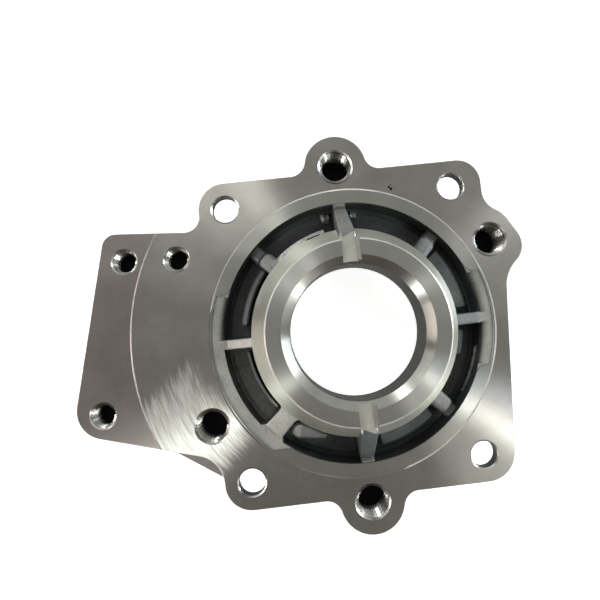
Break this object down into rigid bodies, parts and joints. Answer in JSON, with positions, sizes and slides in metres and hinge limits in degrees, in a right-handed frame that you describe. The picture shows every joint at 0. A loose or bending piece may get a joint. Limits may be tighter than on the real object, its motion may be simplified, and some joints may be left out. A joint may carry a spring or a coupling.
{
  "type": "pump mounting flange",
  "caption": "Cast iron pump mounting flange: a plate with a side tab, a turned face, a ribbed annular pocket and a raised tapered hub round the shaft bore.",
  "frame": {"origin": "on the bore axis, at the machined back of the drum, where the wider seat opens", "axes": "+Z along the bore out of the hub's face, -X towards the tab, +Y towards one of the two lobes on the long axis of the plate"},
  "size_m": [0.2296, 0.199, 0.06],
  "materials": {
    "grey_iron": "machined bright on the front, as cast in the pocket and behind"
  },
  "bodies": {
    "root": {"flange_casting": "grey_iron"}
  },
  "joints": []
}
